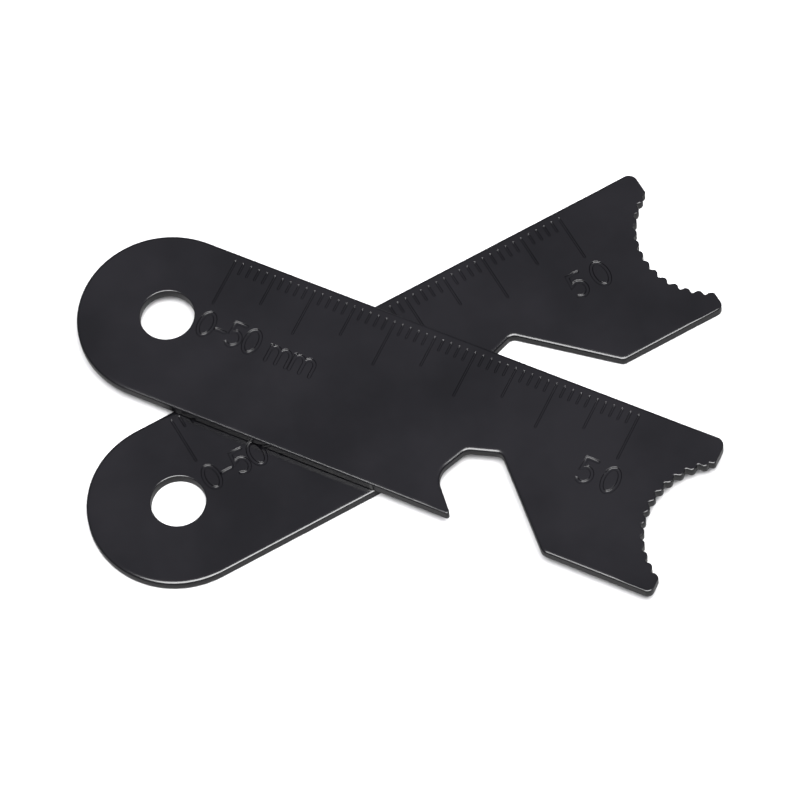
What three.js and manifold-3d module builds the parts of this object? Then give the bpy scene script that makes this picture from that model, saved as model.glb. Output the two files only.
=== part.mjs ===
// A pair of pocket striker plates for a fire-starting rod, lying crossed on a flat surface.
// Each plate is one stamped piece of sheet steel, painted black. It has a round end with a
// lanyard hole, a ruler along one edge, a bottle opener notch in the other edge and a hollow
// scraper end with a row of small round teeth.
//
// Plate coordinates: the origin is the centre of the lanyard hole on the back face. X runs
// along the plate to the scraper end, Y runs across it to the ruler edge, and Z is up through
// its thickness. All sizes are in millimetres.

import * as THREE from "three";
import { mergeVertices } from "three/addons/utils/BufferGeometryUtils.js";
import Module from "manifold-3d";

const wasm = await Module();
wasm.setup();

// ---------------------------------------------------------------- driving dimensions

// Plate blank
const plateWidth = 20.5;
const plateLength = 74.5;
const plateThickness = 1.4;
const lanyardHoleDiameter = 6.2;
const rulerTipRadius = 1.1;
const openerTipRadius = 0.8;

// Bottle opener notch. Distances are from the scraper end, heights from the lower edge.
const hookTip = { fromEnd: 24.1, height: 0, radius: 0.3 };
const hookThroat = { fromEnd: 27.8, height: 4.1, radius: 2.5 };
const notchHeel = { fromEnd: 26, height: 8.1, radius: 1.3 };
const notchPeak = { fromEnd: 22.2, height: 9.3, radius: 1.0 };
const rampFoot = { fromEnd: 13.05, height: 0, radius: 1.0 };

// Scraper: teeth along a circle whose centre lies outside the plate
const scraperRadius = 8.55;
const scraperCentreOutside = 4.2;
const scraperCentreDrop = 0.5;
const toothSpacing = 1.4;
const toothDepth = 0.42;

// Ruler
const scaleLength = 50;
const scaleStart = 4.1;
const divisionLength = 1;
const lineEdgeGap = 0.8;
const lineWidth = 0.3;
const shortLine = 1.5;
const middleLine = 4;
const longLine = 6;

// Numerals
const engravingDepth = 0.12;
const penWidth = 0.34;
const rangeMark = { text: "0-50 mm", x: 3.3, y: -0.8, height: 3, width: 15 };
const endMark = { text: "50", x: 50.8, y: -0.9, height: 3.1, width: 4.6 };

// How the two plates lie: each axis crosses the other at this distance from its own hole
const lowerPlate = { turn: THREE.MathUtils.degToRad(21.75), crossing: 24.6 };
const upperPlate = { turn: THREE.MathUtils.degToRad(-32.7), crossing: 25.5 };

// Greatest gap between a curve and the straight runs that stand for it
const chordGap = 0.01;
const penChordGap = 0.05;
const shortestSide = 0.001;

// ---------------------------------------------------------------- derived dimensions

const halfWidth = plateWidth / 2;
const plateEnd = plateLength - halfWidth;
const scraperCentre = new THREE.Vector2(plateEnd + scraperCentreOutside, -scraperCentreDrop);

// ---------------------------------------------------------------- outlines

// Points along an arc, close enough together to keep within the allowed gap.
function arcPoints(centre, radius, startAngle, turn, gap = chordGap) {
  const widestStep = 2 * Math.acos(1 - Math.min(gap / radius, 0.5));
  const steps = Math.max(2, Math.ceil(Math.abs(turn) / widestStep));
  return Array.from({ length: steps + 1 }, (_, i) => {
    const angle = startAngle + (turn * i) / steps;
    return new THREE.Vector2(
      centre.x + radius * Math.cos(angle),
      centre.y + radius * Math.sin(angle),
    );
  });
}

// The arc that rounds one corner of an outline and meets both its sides smoothly.
function cornerArc(before, corner, after) {
  const toBefore = new THREE.Vector2(before.x - corner.x, before.y - corner.y).normalize();
  const toAfter = new THREE.Vector2(after.x - corner.x, after.y - corner.y).normalize();
  const halfAngle = Math.acos(toBefore.dot(toAfter)) / 2;
  const inward = toBefore.clone().add(toAfter).normalize();
  const apex = new THREE.Vector2(corner.x, corner.y);
  const centre = apex.clone().addScaledVector(inward, corner.radius / Math.sin(halfAngle));
  const start = apex.clone().addScaledVector(toBefore, corner.radius / Math.tan(halfAngle));
  const turnSide = Math.sign(toAfter.cross(toBefore));
  const turn = turnSide * (Math.PI - 2 * halfAngle);
  return arcPoints(centre, corner.radius, start.sub(centre).angle(), turn);
}

// A closed outline with its corners rounded. Where two arcs meet, their shared point stays once.
function roundedOutline(corners) {
  const points = corners.flatMap((corner, i) => {
    const before = corners.at(i - 1);
    const after = corners[(i + 1) % corners.length];
    return corner.radius ? cornerArc(before, corner, after) : [new THREE.Vector2(corner.x, corner.y)];
  });
  return points.filter((point, i) => point.distanceTo(points.at(i - 1)) > shortestSide);
}

// A corner of the notch, turned from its distances into plate coordinates.
function notchCorner({ fromEnd, height, radius }) {
  return { x: plateEnd - fromEnd, y: height - halfWidth, radius };
}

// The toothed curve, from the lower edge to the ruler edge: a circle through the tooth tips,
// with a narrow round gullet between each two teeth. It stops on the line of the plate's end.
function scraperPoints() {
  const toothTurn = toothSpacing / scraperRadius;
  const lastToothTurn = THREE.MathUtils.degToRad(59);
  const stepsPerTooth = 8;
  const teethEachWay = Math.ceil(Math.PI / toothTurn);
  const curve = [];
  for (let step = -2 * stepsPerTooth; step <= teethEachWay * stepsPerTooth; step += 1) {
    const tooth = step / stepsPerTooth;
    const angle = Math.PI + lastToothTurn - tooth * toothTurn;
    const radius = scraperRadius + toothDepth * Math.abs(Math.sin(Math.PI * tooth)) ** 3;
    curve.push(new THREE.Vector2(
      scraperCentre.x + radius * Math.cos(angle),
      scraperCentre.y + radius * Math.sin(angle),
    ));
  }
  const onPlate = (point) => point.x < plateEnd;
  const onEndLine = (inside, outside) => {
    const share = (plateEnd - inside.x) / (outside.x - inside.x);
    return inside.clone().lerp(outside, share);
  };
  const first = curve.findIndex(onPlate);
  const last = curve.findLastIndex(onPlate);
  return [
    onEndLine(curve[first], curve[first - 1]),
    ...curve.slice(first, last + 1),
    onEndLine(curve[last], curve[last + 1]),
  ];
}

function plateShape() {
  const outline = roundedOutline([
    { x: -halfWidth, y: -halfWidth, radius: halfWidth },
    notchCorner(hookTip),
    notchCorner(hookThroat),
    notchCorner(notchHeel),
    notchCorner(notchPeak),
    notchCorner(rampFoot),
    { x: plateEnd, y: -halfWidth, radius: openerTipRadius },
    ...scraperPoints(),
    { x: plateEnd, y: halfWidth, radius: rulerTipRadius },
    { x: -halfWidth, y: halfWidth, radius: halfWidth },
  ]);
  const shape = new THREE.Shape(outline);
  const holeCentre = new THREE.Vector2();
  const holeOutline = arcPoints(holeCentre, lanyardHoleDiameter / 2, 0, -2 * Math.PI);
  shape.holes.push(new THREE.Path(holeOutline.slice(0, -1)));
  return shape;
}

// ---------------------------------------------------------------- solids

function toManifold(geometry) {
  const bare = geometry.clone();
  bare.deleteAttribute("normal");
  bare.deleteAttribute("uv");
  const merged = mergeVertices(bare, 1e-5);
  return new wasm.Manifold(new wasm.Mesh({
    numProp: 3,
    vertProperties: new Float32Array(merged.attributes.position.array),
    triVerts: new Uint32Array(merged.index.array),
  }));
}

function toGeometry(manifold) {
  const mesh = manifold.getMesh();
  const geometry = new THREE.BufferGeometry();
  geometry.setAttribute("position", new THREE.BufferAttribute(mesh.vertProperties, 3));
  geometry.setIndex(new THREE.BufferAttribute(mesh.triVerts, 1));
  geometry.computeVertexNormals();
  return geometry;
}

function extruded(shape, bottom, top) {
  const geometry = new THREE.ExtrudeGeometry(shape, { depth: top - bottom, bevelEnabled: false });
  geometry.translate(0, 0, bottom);
  return toManifold(geometry);
}

// A cutter for one groove in the front face, standing clear above it.
function grooveCutter(shape) {
  return extruded(shape, plateThickness - engravingDepth, plateThickness + engravingDepth);
}

// One pen stroke from point to point, with round ends.
function strokeShape(from, to) {
  const along = to.clone().sub(from).angle();
  const quarter = Math.PI / 2;
  const farEnd = arcPoints(to, penWidth / 2, along - quarter, Math.PI, penChordGap);
  const nearEnd = arcPoints(from, penWidth / 2, along + quarter, Math.PI, penChordGap);
  return new THREE.Shape([...farEnd, ...nearEnd]);
}

// ---------------------------------------------------------------- ruler

function lineLength(division) {
  if (division % 10 === 0) return longLine;
  if (division % 5 === 0) return middleLine;
  return shortLine;
}

function rulerLine(division) {
  const x = scaleStart + division * divisionLength;
  const top = halfWidth - lineEdgeGap;
  const bottom = top - lineLength(division);
  return grooveCutter(new THREE.Shape([
    new THREE.Vector2(x - lineWidth / 2, bottom),
    new THREE.Vector2(x + lineWidth / 2, bottom),
    new THREE.Vector2(x + lineWidth / 2, top),
    new THREE.Vector2(x - lineWidth / 2, top),
  ]));
}

// ---------------------------------------------------------------- numerals

// Points along an oval. Angles are in degrees.
function ovalPoints(centreX, centreY, radiusX, radiusY, startDegrees, endDegrees) {
  const curve = new THREE.EllipseCurve(
    centreX, centreY, radiusX, radiusY,
    THREE.MathUtils.degToRad(startDegrees), THREE.MathUtils.degToRad(endDegrees),
    endDegrees < startDegrees,
  );
  return curve.getPoints(Math.ceil(Math.abs(endDegrees - startDegrees) / 30));
}

function straightPoints(...pairs) {
  return pairs.map(([x, y]) => new THREE.Vector2(x, y));
}

// Pen lines of each sign, in a cell one unit high.
const signs = {
  0: { width: 0.56, lines: [ovalPoints(0.28, 0.5, 0.28, 0.5, 0, 360)] },
  5: {
    width: 0.52,
    lines: [[
      ...straightPoints([0.5, 1], [0.08, 1], [0.04, 0.56]),
      ...ovalPoints(0.24, 0.34, 0.28, 0.32, 90, -130),
    ]],
  },
  "-": { width: 0.36, lines: [straightPoints([0, 0.45], [0.36, 0.45])] },
  " ": { width: 0.2, lines: [] },
  m: {
    width: 0.84,
    lines: [
      straightPoints([0, 0], [0, 0.66]),
      [...ovalPoints(0.21, 0.42, 0.21, 0.24, 180, 0), ...straightPoints([0.42, 0])],
      [...ovalPoints(0.63, 0.42, 0.21, 0.24, 180, 0), ...straightPoints([0.84, 0])],
    ],
  },
};

// Cutters for a line of signs, spread evenly over the mark's width.
function markCutters({ text, x, y, height, width }) {
  const used = [...text].map((letter) => signs[letter]);
  const inkWidth = used.reduce((sum, sign) => sum + sign.width * height, 0);
  const gap = (width - inkWidth) / (used.length - 1);
  const cutters = [];
  let left = x;
  for (const sign of used) {
    for (const line of sign.lines) {
      const points = line.map((point) => point.clone().multiplyScalar(height));
      points.forEach((point) => point.add(new THREE.Vector2(left, y)));
      for (let i = 1; i < points.length; i += 1) {
        cutters.push(grooveCutter(strokeShape(points[i - 1], points[i])));
      }
    }
    left += sign.width * height + gap;
  }
  return cutters;
}

// ---------------------------------------------------------------- the two plates

function plateGeometry() {
  const divisions = Math.round(scaleLength / divisionLength);
  const rulerLines = Array.from({ length: divisions + 1 }, (_, i) => rulerLine(i));
  const cutters = [...rulerLines, ...markCutters(rangeMark), ...markCutters(endMark)];
  const engraving = cutters.reduce((whole, cutter) => whole.add(cutter));
  const blank = extruded(plateShape(), 0, plateThickness);
  return toGeometry(blank.subtract(engraving));
}

function plateMesh(name, geometry) {
  const blackPaint = new THREE.MeshStandardMaterial({
    color: 0x232326,
    roughness: 0.35,
    metalness: 0.1,
  });
  const mesh = new THREE.Mesh(geometry, blackPaint);
  mesh.name = name;
  return mesh;
}

// Turns a plate about the crossing point and sets its back face at the given height.
function layPlate(mesh, { turn, crossing }, height) {
  mesh.position.x = -crossing;
  const layer = new THREE.Group();
  layer.rotation.z = turn;
  layer.position.z = height;
  layer.add(mesh);
  return layer;
}

const geometry = plateGeometry();
const pair = new THREE.Group();
pair.add(layPlate(plateMesh("lower_striker_plate", geometry), lowerPlate, 0));
pair.add(layPlate(plateMesh("upper_striker_plate", geometry), upperPlate, plateThickness));

// The origin goes under the middle of the pair's outline, on the surface that it lies on.
pair.updateMatrixWorld(true);
const middle = new THREE.Box3().setFromObject(pair, true).getCenter(new THREE.Vector3());
pair.position.set(-middle.x, -middle.y, 0);

export default pair;
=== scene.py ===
# %% [markdown]
# # A pair of striker plates, lying crossed
#
# Each plate is one piece of sheet steel, stamped out, rounded by tumbling and dipped in black
# paint. It has a lanyard hole, a ruler, a bottle opener notch and a toothed, hollow end. The
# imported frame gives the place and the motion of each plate. This script makes the fine surface:
# the rounded edges, the pressed marks, the paint and the light that shows them.

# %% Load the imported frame
import math

import bmesh
import bpy
import numpy as np
from mathutils import Matrix, Vector


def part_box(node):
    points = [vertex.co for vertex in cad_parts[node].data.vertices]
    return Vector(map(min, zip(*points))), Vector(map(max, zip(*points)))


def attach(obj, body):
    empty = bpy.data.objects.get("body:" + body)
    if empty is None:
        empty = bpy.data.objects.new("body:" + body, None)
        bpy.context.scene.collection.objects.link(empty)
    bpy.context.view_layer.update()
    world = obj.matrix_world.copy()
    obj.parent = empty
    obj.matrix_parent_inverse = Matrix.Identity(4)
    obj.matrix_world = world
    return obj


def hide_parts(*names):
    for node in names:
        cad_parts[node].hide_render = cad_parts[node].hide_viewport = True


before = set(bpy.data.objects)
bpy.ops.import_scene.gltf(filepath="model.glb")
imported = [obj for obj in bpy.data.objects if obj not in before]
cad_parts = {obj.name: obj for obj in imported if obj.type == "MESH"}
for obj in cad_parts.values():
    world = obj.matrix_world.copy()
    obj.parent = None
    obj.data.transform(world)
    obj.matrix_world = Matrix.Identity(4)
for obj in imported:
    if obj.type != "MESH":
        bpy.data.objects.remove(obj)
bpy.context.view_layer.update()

# %% [markdown]
# ## Sizes
#
# A plate is drawn flat in its own coordinates, in millimetres. The origin is the centre of the
# lanyard hole, x runs to the toothed end and y to the ruler edge. Everything is turned into
# metres at the very end, when the plate is laid in its place.

# %% Plate sizes in millimetres
MILLIMETRE = 0.001

plate_width = 20.5
plate_length = 74.5
hole_radius = 3.1
half_width = plate_width / 2
plate_end = plate_length - half_width

low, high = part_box("lower_striker_plate")
thickness = (high[2] - low[2]) / MILLIMETRE
print("sheet thickness", round(thickness, 3), "mm")

edge_roll_in = 0.52
edge_roll_down = 0.28
edge_steps = 7
curve_gap = 0.002

# %% [markdown]
# ## The outline
#
# The outline is a list of corners, each with its rounding, joined by straight runs. A tangent
# arc replaces each corner, as a die sinker rounds the corners of a stamping die so that they
# do not crack. Both corners of the round end share a radius of half the width, so that their
# two quarter circles meet in one half circle.


# %% Arcs and rounded corners
def arc(centre, radius, start, turn, gap=curve_gap):
    """Points along an arc, close enough to stay within the gap of the true curve."""
    widest_step = 2 * math.acos(1 - gap / radius)
    steps = max(2, math.ceil(abs(turn) / widest_step))
    angles = [start + turn * i / steps for i in range(steps + 1)]
    return [centre + radius * Vector((math.cos(a), math.sin(a))) for a in angles]


def corner_arc(before, corner, after, radius):
    to_before = (before - corner).normalized()
    to_after = (after - corner).normalized()
    half_angle = math.acos(to_before.dot(to_after)) / 2
    centre = corner + (to_before + to_after).normalized() * radius / math.sin(half_angle)
    first = corner + to_before * radius / math.tan(half_angle) - centre
    side = math.copysign(1, to_after.x * to_before.y - to_after.y * to_before.x)
    turn = side * (math.pi - 2 * half_angle)
    return arc(centre, radius, math.atan2(first.y, first.x), turn)


def rounded(corners):
    """A closed outline from (point, radius) corners, without doubled points."""
    points = []
    for i, (corner, radius) in enumerate(corners):
        before = corners[i - 1][0]
        after = corners[(i + 1) % len(corners)][0]
        points += corner_arc(before, corner, after, radius) if radius else [corner]
    return [p for i, p in enumerate(points) if (p - points[i - 1]).length > 0.001]


# %% [markdown]
# ## The toothed end
#
# The teeth stand along a circle whose centre lies outside the plate. The formula drops from
# the tip circle into a narrow gullet between each two teeth: the third power of the sine
# keeps the teeth broad and the gullets narrow, as a row of small punches leaves them.

# %% Toothed curve
scraper_radius = 8.55
scraper_centre = Vector((plate_end + 4.2, -0.5))
tooth_turn = 1.4 / scraper_radius
last_tooth_turn = math.radians(59)
tooth_depth = 0.42
middle_tooth = 7
first_tooth, end_tooth = -2, 20
steps_per_tooth = 24


def toothed_curve():
    """From the lower edge to the ruler edge, ended exactly on the line of the plate's end."""
    curve = []
    for step in range(first_tooth * steps_per_tooth, end_tooth * steps_per_tooth):
        tooth = step / steps_per_tooth
        angle = math.pi + last_tooth_turn - tooth * tooth_turn
        radius = scraper_radius + tooth_depth * abs(math.sin(math.pi * tooth)) ** 3
        curve.append(scraper_centre + radius * Vector((math.cos(angle), math.sin(angle))))
    inside = [i for i, p in enumerate(curve) if p.x < plate_end]

    def on_end_line(kept, dropped):
        share = (plate_end - kept.x) / (dropped.x - kept.x)
        return kept.lerp(dropped, share)

    first, last = inside[0], inside[-1]
    start = on_end_line(curve[first], curve[first - 1])
    end = on_end_line(curve[last], curve[last + 1])
    return [start, *curve[first : last + 1], end]


def tooth_tip(tooth):
    """The tip of a tooth, counted from the lower edge."""
    angle = math.pi + last_tooth_turn - tooth * tooth_turn
    return scraper_centre + scraper_radius * Vector((math.cos(angle), math.sin(angle)))


# %% [markdown]
# ## The whole outline
#
# The bottle opener notch is a hook that catches a cap's rim, a throat that the rim turns in, a
# roof that presses on the cap's top, and a long ramp that leaves room for the cap.
#
# Some points stand on straight runs, with no rounding. They change no shape. They mark where
# the rounding of the rim steps down from full to fine.

# %% Outline of the plate
toothed = toothed_curve()
tooth_start, tooth_finish = toothed[0], toothed[-1]
corner_room = 0.6


def clear_of_corners(point):
    """Whether a point leaves room for the rounding at both ends of the toothed curve."""
    return min((point - tooth_start).length, (point - tooth_finish).length) > corner_room


tooth_points = [p for p in toothed if clear_of_corners(p)]
hook_tip = Vector((plate_end - 24.1, -half_width))
hook_throat = Vector((plate_end - 27.8, 4.1 - half_width))
into_throat = (hook_throat - hook_tip).normalized()
fine_from_end = 4.5
full_from_hook = 3.4
step_down = 1.7
corners = [
    (Vector((-half_width, -half_width)), half_width),
    (hook_tip - Vector((full_from_hook, 0)), 0.0),
    (hook_tip - Vector((full_from_hook - step_down, 0)), 0.0),
    (hook_tip, 0.3),
    (hook_tip + into_throat * (full_from_hook - step_down), 0.0),
    (hook_tip + into_throat * full_from_hook, 0.0),
    (hook_throat, 2.5),
    (Vector((plate_end - 26.0, 8.1 - half_width)), 1.3),
    (Vector((plate_end - 22.2, 9.3 - half_width)), 1.0),
    (Vector((plate_end - 13.05, -half_width)), 1.0),
    (Vector((plate_end - fine_from_end, -half_width)), 0.0),
    (Vector((plate_end - fine_from_end + step_down, -half_width)), 0.0),
    (Vector((plate_end, -half_width)), 0.8),
    (tooth_start, 0.4),
    *[(p, 0.0) for p in tooth_points],
    (tooth_finish, 0.4),
    (Vector((plate_end, half_width)), 1.1),
    (Vector((plate_end - fine_from_end + step_down, half_width)), 0.0),
    (Vector((plate_end - fine_from_end, half_width)), 0.0),
    (Vector((-half_width, half_width)), half_width),
]
outline = rounded(corners)
hole = arc(Vector((0, 0)), hole_radius, 0, 2 * math.pi)[:-1]
print("outline of", len(outline), "points, hole of", len(hole))

# %% [markdown]
# ## The blank
#
# Two faces make the front of the plate, split along the middle line so that neither has a hole
# in it, and they are extruded through the thickness. Each rim edge also gets a share, which
# says how far it is rounded later: fully at the long edges, and less at the fine teeth, the
# hook and the hole, which a full rounding would eat away.


# %% Blank with its rim shares
def nearest(points, target):
    return min(range(len(points)), key=lambda i: (points[i] - target).length)


def walk(points, start, end):
    """Items from start to end, going forward round a closed list."""
    count = (end - start) % len(points) + 1
    return [points[(start + i) % len(points)] for i in range(count)]


full_roll, fine_roll = 1.0, 0.4


def roll_share(at):
    """How much of the full roll an edge gets: less at the fine teeth, the hook and the hole."""
    from_teeth = abs((at - scraper_centre).length - scraper_radius)
    near_teeth = from_teeth < 2 * tooth_depth or at.x > plate_end - fine_from_end
    near_hook = (at - hook_tip).length < full_from_hook
    near_hole = at.length < 2 * hole_radius
    return fine_roll if near_teeth or near_hook or near_hole else full_roll


def make_blank():
    bm = bmesh.new()
    rim = [bm.verts.new((p.x, p.y, thickness)) for p in outline]
    bore = [bm.verts.new((p.x, p.y, thickness)) for p in hole]
    back_end = nearest(outline, Vector((-half_width, 0)))
    mid_tooth = nearest(outline, tooth_tip(middle_tooth))
    bore_front = nearest(hole, Vector((hole_radius, 0)))
    bore_back = nearest(hole, Vector((-hole_radius, 0)))
    ruler_side = walk(rim, mid_tooth, back_end) + walk(bore, bore_front, bore_back)[::-1]
    opener_side = walk(rim, back_end, mid_tooth) + walk(bore, bore_back, bore_front)[::-1]
    bm.faces.new(ruler_side)
    bm.faces.new(opener_side)
    grown = bmesh.ops.extrude_face_region(bm, geom=bm.faces[:], use_keep_orig=True)
    moved = [item for item in grown["geom"] if isinstance(item, bmesh.types.BMVert)]
    bmesh.ops.translate(bm, vec=(0, 0, -thickness), verts=moved)
    bmesh.ops.recalc_face_normals(bm, faces=bm.faces[:])
    share = bm.edges.layers.float.new("bevel_weight_edge")
    for edge in bm.edges:
        flat_faces = [face for face in edge.link_faces if abs(face.normal.z) > 0.5]
        if len(flat_faces) == 1:
            edge[share] = roll_share(((edge.verts[0].co + edge.verts[1].co) / 2).xy)
    return bm


# %% [markdown]
# ## Rounding the rims
#
# Tumbling and thick paint leave a soft edge, wider across the face than it is deep. So a round
# bevel is cut first, and each side is then pressed flatter towards its own face. This edge is
# what draws the bright line round each plate.


# %% Round the rims
def object_from(bm, name):
    mesh = bpy.data.meshes.new(name)
    bm.to_mesh(mesh)
    bm.free()
    made = bpy.data.objects.new(name, mesh)
    bpy.context.scene.collection.objects.link(made)
    return made


def with_modifiers(made):
    """The mesh of an object as its modifiers leave it."""
    depsgraph = bpy.context.evaluated_depsgraph_get()
    return bpy.data.meshes.new_from_object(made.evaluated_get(depsgraph))


def roll_edges(blank):
    bevel = blank.modifiers.new("roll", "BEVEL")
    bevel.limit_method = "WEIGHT"
    bevel.offset_type = "OFFSET"
    bevel.width = edge_roll_in
    bevel.segments = edge_steps
    bevel.use_clamp_overlap = False
    rolled = with_modifiers(blank)
    blank.modifiers.clear()
    blank.data = rolled
    flatter = edge_roll_down / edge_roll_in
    for vertex in rolled.vertices:
        from_top = thickness - vertex.co.z
        on_front = from_top < thickness / 2
        vertex.co.z = thickness - flatter * from_top if on_front else flatter * vertex.co.z
    return blank


blank = roll_edges(object_from(make_blank(), "blank"))
print("rounded blank of", len(blank.data.vertices), "points")


# %% [markdown]
# ## The pressed marks
#
# A mark is pressed with a steel stamp, and the paint then softens it. So each groove has the
# section of a shallow trough: a rounded lip, a steep wall, a rounded foot and a narrow flat
# floor. The lip and the foot each draw a thin bright line, so a sign shows as an outline. A
# cutter is that section swept along the pen's path, with a half turn of it at each end.

# %% Groove section
pen_half_width, pen_depth = 0.27, 0.15
line_half_width, line_depth = 0.19, 0.12
lip_radius, floor_radius = 0.08, 0.10
wall_slope = math.radians(70)
arc_steps = 4
cutter_top, cutter_flare = 0.3, 0.02
lip_overlap = 0.004


def groove_section(half, depth):
    """(distance from the middle, height) from the outer lip in to the floor's middle."""
    turns = [wall_slope * i / arc_steps for i in range(arc_steps + 1)]
    wall_height = depth - (lip_radius + floor_radius) * (1 - math.cos(wall_slope))
    wall_run = wall_height / math.tan(wall_slope)
    flat = half - (lip_radius + floor_radius) * math.sin(wall_slope) - wall_run
    points = [(half + cutter_flare, cutter_top), (half, lip_overlap)]
    for turn in turns:
        points.append((half - lip_radius * math.sin(turn), -lip_radius * (1 - math.cos(turn))))
    for turn in reversed(turns):
        rise = floor_radius * (1 - math.cos(turn))
        points.append((flat + floor_radius * math.sin(turn), rise - depth))
    return [*points, (0, -depth)]


# %% Sweep a cutter along a pen path
def sweep(bm, path, section, closed=False, end_steps=6):
    """A closed cutter solid along a flat path, standing in the front face."""
    count = len(path)
    rings = []

    def ring(at, across):
        left = [bm.verts.new((*(at + across * d), thickness + h)) for d, h in section]
        right = [bm.verts.new((*(at - across * d), thickness + h)) for d, h in section[-2::-1]]
        return left + right

    for i, point in enumerate(path):
        back = path[i - 1] if closed or i else point
        ahead = path[(i + 1) % count] if closed or i < count - 1 else point
        onward = (ahead - point).normalized()
        into = (point - back).normalized() if (point - back).length else onward
        out = onward if (ahead - point).length else into
        along = (into + out).normalized()
        widen = 1 / max(0.5, along.dot(out))
        rings.append(ring(point, Vector((-along.y, along.x)) * widen))
    pairs = list(zip(rings, rings[1:])) + ([(rings[-1], rings[0])] if closed else [])
    for a, b in pairs:
        for j in range(len(a)):
            k = (j + 1) % len(a)
            bm.faces.new((a[j], a[k], b[k], b[j]))
    if not closed:
        for at, whole, sign in ((path[0], rings[0], -1), (path[-1], rings[-1], 1)):
            cap_end(bm, at, whole, section, sign, end_steps)


def cap_end(bm, at, whole, section, sign, end_steps):
    """Half a turn of the section, from one side of a ring round to the other."""
    middle = len(section) - 1
    first = [whole[j].co.xy - at for j in range(middle)]
    profiles = [whole[:middle]]
    for i in range(1, end_steps):
        turn = Matrix.Rotation(-sign * math.pi * i / end_steps, 2)
        heights = [v.co.z for v in whole[:middle]]
        profiles.append([bm.verts.new((*(at + turn @ p), z)) for p, z in zip(first, heights)])
    profiles.append(whole[:middle:-1])
    floor = whole[middle]
    for a, b in zip(profiles, profiles[1:]):
        for j in range(middle - 1):
            bm.faces.new((a[j], a[j + 1], b[j + 1], b[j]))
        bm.faces.new((a[-1], floor, b[-1]))
    bm.faces.new([p[0] for p in profiles])


# %% [markdown]
# ## The ruler
#
# Fifty divisions of one millimetre, with a longer line at each fifth and a still longer one at
# each tenth. The lines stop just short of the edge.

# %% Ruler lines
scale_start = 4.1
divisions = 50
line_edge_gap = 0.8
short_line, middle_line, long_line = 1.5, 4.0, 6.0


def ruler_paths():
    paths = []
    top = half_width - line_edge_gap - line_half_width
    for division in range(divisions + 1):
        medium = middle_line if division % 5 == 0 else short_line
        length = long_line if division % 10 == 0 else medium
        x = scale_start + division
        paths.append([Vector((x, top)), Vector((x, half_width - line_edge_gap - length))])
    return paths


# %% [markdown]
# ## The numerals
#
# A few signs are enough: they say what the ruler measures. Each sign is drawn by pen lines in
# a cell one unit high. A mark's signs are then spread over the width that it takes.


# %% Pen lines of the signs
def oval(centre, radii, start, end, steps=16):
    angles = [math.radians(start + (end - start) * i / steps) for i in range(steps + 1)]
    return [Vector((centre[0] + radii[0] * math.cos(a), centre[1] + radii[1] * math.sin(a)))
            for a in angles]


def line(*pairs):
    return [Vector(pair) for pair in pairs]


five = line((0.5, 1), (0.08, 1), (0.04, 0.56)) + oval((0.24, 0.34), (0.28, 0.32), 90, -130)
signs = {
    "0": (0.56, [oval((0.28, 0.5), (0.28, 0.5), 0, 360, 28)[:-1]]),
    "5": (0.52, [five]),
    "-": (0.36, [line((0, 0.45), (0.36, 0.45))]),
    " ": (0.2, []),
    "m": (0.84, [
        line((0, 0), (0, 0.66)),
        oval((0.21, 0.42), (0.21, 0.24), 180, 0) + line((0.42, 0)),
        oval((0.63, 0.42), (0.21, 0.24), 180, 0) + line((0.84, 0)),
    ]),
}


def mark_paths(text, x, y, height, width):
    """(layer, closed, path) for each pen line. Lines that touch are in different layers."""
    cells = [signs[letter] for letter in text]
    gap = (width - sum(cell[0] for cell in cells) * height) / (len(cells) - 1)
    paths = []
    for cell_width, lines in cells:
        for layer, pen_line in enumerate(lines):
            placed = [Vector((x, y)) + point * height for point in pen_line]
            closed = (pen_line[0] - pen_line[-1]).length < 0.15 and len(pen_line) > 8
            paths.append((layer, closed, placed))
        x += cell_width * height + gap
    return paths


# %% [markdown]
# ## Cutting the marks
#
# The cutters go into three meshes, so that no two pen lines in one mesh touch, and each mesh
# is cut from the blank in turn.


# %% Cut the marks into the blank
first_mark = ("0-50 mm", 3.8, -0.8, 3.0, 14.4)
last_mark = ("50", 50.8, -0.9, 3.1, 4.6)
layer_count = 3


def make_cutters():
    layers = [bmesh.new() for _ in range(layer_count)]
    line_section = groove_section(line_half_width, line_depth)
    pen_section = groove_section(pen_half_width, pen_depth)
    for path in ruler_paths():
        sweep(layers[0], path, line_section)
    for layer, closed, path in mark_paths(*first_mark) + mark_paths(*last_mark):
        sweep(layers[layer], path, pen_section, closed)
    for bm in layers:
        bmesh.ops.recalc_face_normals(bm, faces=bm.faces[:])
    return [object_from(bm, f"mark_cutter_{i}") for i, bm in enumerate(layers)]


def cut(blank, cutters):
    for cutter in cutters:
        modifier = blank.modifiers.new("cut", "BOOLEAN")
        modifier.operation = "DIFFERENCE"
        modifier.solver = "MANIFOLD"
        modifier.object = cutter
    cut_mesh = with_modifiers(blank)
    for cutter in cutters:
        bpy.data.objects.remove(cutter)
    bpy.data.objects.remove(blank)
    return cut_mesh


plate_mesh = cut(blank, make_cutters())
print("plate of", len(plate_mesh.vertices), "points,", len(plate_mesh.polygons), "faces")

# %% [markdown]
# ## The paint
#
# The paint is a thin, semi-gloss black over steel. Close up it is never even: it has a faint
# ripple that bends the reflections, a fine grain, a few dust nibs that dried into it, and
# slightly duller patches where it has been handled.


# %% Black paint material
def add(tree, kind, **values):
    """A node with its named sockets set."""
    node = tree.nodes.new(kind)
    for name, value in values.items():
        node.inputs[name.replace("_", " ")].default_value = value
    return node


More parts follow.
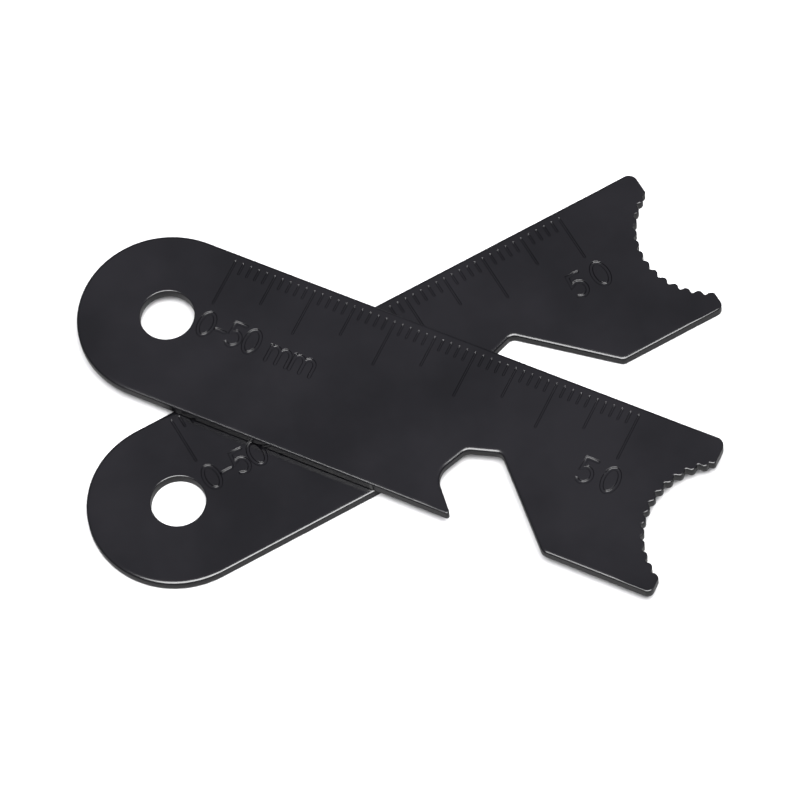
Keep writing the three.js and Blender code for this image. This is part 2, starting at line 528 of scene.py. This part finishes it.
def black_paint():
    material = bpy.data.materials.new("black_paint")
    material.use_nodes = True
    tree = material.node_tree
    link = tree.links.new
    shader = tree.nodes["Principled BSDF"]
    place = tree.nodes.new("ShaderNodeTexCoord").outputs["Object"]

    ripple = add(tree, "ShaderNodeTexNoise", Scale=420.0, Detail=2.0, Roughness=0.5)
    grain = add(tree, "ShaderNodeTexNoise", Scale=5200.0, Detail=2.0, Roughness=0.6)
    handled = add(tree, "ShaderNodeTexNoise", Scale=70.0, Detail=4.0, Roughness=0.55)
    nibs = add(tree, "ShaderNodeTexVoronoi", Scale=330.0, Randomness=1.0)
    for texture in (ripple, grain, handled, nibs):
        link(place, texture.inputs["Vector"])

    colour = tree.nodes.new("ShaderNodeMix")
    colour.data_type = "RGBA"
    colour.inputs["A"].default_value = (0.0015, 0.0015, 0.0021, 1)
    colour.inputs["B"].default_value = (0.0040, 0.0038, 0.0049, 1)
    patches = add(tree, "ShaderNodeMapRange", From_Min=0.36, From_Max=0.64)
    link(handled.outputs["Fac"], patches.inputs["Value"])
    link(patches.outputs["Result"], colour.inputs["Factor"])
    link(colour.outputs["Result"], shader.inputs["Base Color"])

    dull = add(tree, "ShaderNodeMapRange", To_Min=0.17, To_Max=0.24)
    link(patches.outputs["Result"], dull.inputs["Value"])
    link(dull.outputs["Result"], shader.inputs["Roughness"])

    nib = add(tree, "ShaderNodeMapRange", From_Max=0.05, To_Min=1.0, To_Max=0.0)
    link(nibs.outputs["Distance"], nib.inputs["Value"])

    normal = None
    for height, depth, strength in (
        (ripple.outputs["Fac"], 0.00002, 0.25),
        (grain.outputs["Fac"], 0.000004, 0.35),
        (nib.outputs["Result"], 0.00002, 0.5),
    ):
        bump = add(tree, "ShaderNodeBump", Distance=depth, Strength=strength)
        link(height, bump.inputs["Height"])
        if normal:
            link(normal, bump.inputs["Normal"])
        normal = bump.outputs["Normal"]
    link(normal, shader.inputs["Normal"])
    shader.inputs["IOR"].default_value = 1.5
    return material


paint = black_paint()

# %% [markdown]
# ## Laying the plates
#
# Each plate is turned flat about the upright axis and then moved until its box is the box of
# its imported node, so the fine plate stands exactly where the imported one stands.

# %% Lay both plates
turns = {"lower": math.radians(21.75), "upper": math.radians(-32.7)}
sharp_angle = math.radians(50)


def lay(name, turn):
    node = f"{name}_striker_plate"
    mesh = plate_mesh.copy()
    mesh.name = f"{name}_plate"
    mesh.transform(Matrix.Rotation(turn, 4, "Z") @ Matrix.Scale(MILLIMETRE, 4))
    points = np.array([v.co for v in mesh.vertices])
    box_low, box_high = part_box(node)
    shift = (Vector(box_low) + Vector(box_high)) / 2 - Vector((points.min(0) + points.max(0)) / 2)
    mesh.transform(Matrix.Translation(shift))
    mesh.materials.clear()
    mesh.materials.append(paint)
    mesh.shade_smooth()
    mesh.set_sharp_from_angle(angle=sharp_angle)
    plate = bpy.data.objects.new(f"{name}_plate", mesh)
    bpy.context.scene.collection.objects.link(plate)
    weighted = plate.modifiers.new("face_weighted_normals", "WEIGHTED_NORMAL")
    weighted.keep_sharp = True
    weighted.weight = 100
    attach(plate, f"{name}_plate")
    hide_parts(node)
    print(plate.name, "shift in mm", [round(c / MILLIMETRE, 3) for c in shift])
    return plate


for name, turn in turns.items():
    lay(name, turn)
bpy.data.meshes.remove(plate_mesh)

# %% [markdown]
# ## Floor and light
#
# A white sheet stands for the table. It looks white from the camera, but what the plates
# mirror of it is darker. An overhead panel lights the sheet and casts the soft shadows. A
# front panel is only mirrored, by the near edges, and so the flat faces stay black from
# straight above too. The pale surroundings are what the flat faces mirror, and they darken
# towards the horizon, which draws the dark line along the far edges.


# %% White floor
floor_half_size = 2.0
seen_shade, mirrored_shade = 0.66, 0.15


def make_floor():
    bm = bmesh.new()
    bmesh.ops.create_grid(bm, x_segments=1, y_segments=1, size=floor_half_size)
    floor = object_from(bm, "floor")
    material = bpy.data.materials.new("white_floor")
    material.use_nodes = True
    tree = material.node_tree
    shader = tree.nodes["Principled BSDF"]
    shade = add(tree, "ShaderNodeMapRange", To_Min=mirrored_shade, To_Max=seen_shade)
    seen = tree.nodes.new("ShaderNodeLightPath")
    tree.links.new(seen.outputs["Is Camera Ray"], shade.inputs["Value"])
    tree.links.new(shade.outputs["Result"], shader.inputs["Base Color"])
    shader.inputs["Roughness"].default_value = 0.9
    floor.data.materials.append(material)


make_floor()


# %% Lights and surroundings
def area_light(name, place, size, power, aim=(0, 0, 0)):
    data = bpy.data.lights.new(name, "AREA")
    data.shape = "RECTANGLE"
    data.size, data.size_y = size
    data.energy = power
    light = bpy.data.objects.new(name, data)
    light.location = place
    light.rotation_euler = (Vector(aim) - Vector(place)).to_track_quat("-Z", "Y").to_euler()
    bpy.context.scene.collection.objects.link(light)
    return light


overhead = area_light("overhead_panel", (0.085, -0.17, 0.9), (0.77, 0.57), 23.6)
overhead.visible_glossy = False
front = area_light("front_panel", (0.01, -0.44, 0.85), (0.92, 0.62), 31, (0.01, -0.25, 0))
front.visible_diffuse = False


horizon_height, horizon_strength = 0.15, 0.06
top_height, top_strength = 0.7, 0.48


def make_surroundings():
    """Pale surroundings that are dim up to a low height and then brighten upwards."""
    world = bpy.data.worlds.new("studio")
    world.use_nodes = True
    tree = world.node_tree
    background = tree.nodes["Background"]
    background.inputs["Color"].default_value = (0.94, 0.92, 1.03, 1)
    sky = tree.nodes.new("ShaderNodeTexCoord").outputs["Generated"]
    split = tree.nodes.new("ShaderNodeSeparateXYZ")
    tree.links.new(sky, split.inputs["Vector"])
    by_height = add(
        tree, "ShaderNodeMapRange",
        From_Min=horizon_height, From_Max=top_height,
        To_Min=horizon_strength, To_Max=top_strength,
    )
    tree.links.new(split.outputs["Z"], by_height.inputs["Value"])
    tree.links.new(by_height.outputs["Result"], background.inputs["Strength"])
    bpy.context.scene.world = world


make_surroundings()

# %% [markdown]
# ## Camera
#
# A long lens from well above, with a slight roll. Its height angle, roll, distance and aim are
# the four things that set the view.

# %% Camera
camera_distance = 0.600
camera_height_angle = math.radians(61.63)
camera_roll = math.radians(-8.37)
camera_aim = Vector((-0.00052, 0.00277, 0.0))

camera_data = bpy.data.cameras.new("camera")
camera_data.sensor_width = 36.0
camera_data.lens = 241.2
camera = bpy.data.objects.new("camera", camera_data)
forward = Vector((0, math.cos(camera_height_angle), -math.sin(camera_height_angle)))
level_right = Vector((1, 0, 0))
level_up = level_right.cross(forward)
right = math.cos(camera_roll) * level_right + math.sin(camera_roll) * level_up
up = math.cos(camera_roll) * level_up - math.sin(camera_roll) * level_right
place = Matrix((right, up, -forward)).transposed().to_4x4()
place.translation = camera_aim - forward * camera_distance
camera.matrix_world = place
bpy.context.scene.collection.objects.link(camera)
bpy.context.scene.camera = camera
bpy.context.scene.view_settings.view_transform = "Standard"
